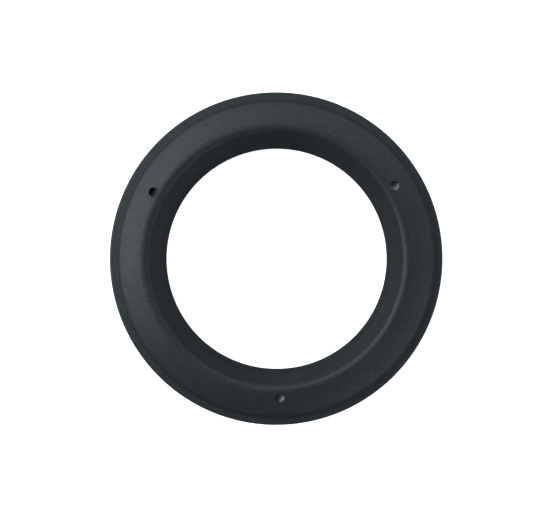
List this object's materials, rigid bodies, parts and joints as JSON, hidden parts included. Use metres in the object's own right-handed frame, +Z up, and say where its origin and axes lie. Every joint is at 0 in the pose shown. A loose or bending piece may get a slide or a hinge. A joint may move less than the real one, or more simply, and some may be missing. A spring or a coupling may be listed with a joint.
{
  "type": "toilet flange",
  "caption": "Round black plastic floor flange with a stepped lip, a sloping band with three screw holes, a funnel-shaped throat, a short spigot with a rubber seal, and a foam floor gasket.",
  "frame": {"origin": "centre of the floor face, on the flange's axis, where the gasket meets the floor", "axes": "+Z up along the flange's axis, away from the pipe; -Y towards the front screw hole"},
  "size_m": [0.15, 0.15, 0.0313],
  "materials": {
    "black_plastic": "fine moulded texture, satin black",
    "gasket_foam": "closed-cell polyethylene foam, off-white, fine cells",
    "seal_rubber": "solid rubber, soft sheen"
  },
  "bodies": {
    "root": {"flange_ring": "black_plastic", "spigot_tube": "black_plastic", "floor_gasket": "gasket_foam", "spigot_seal": "seal_rubber"}
  },
  "joints": []
}
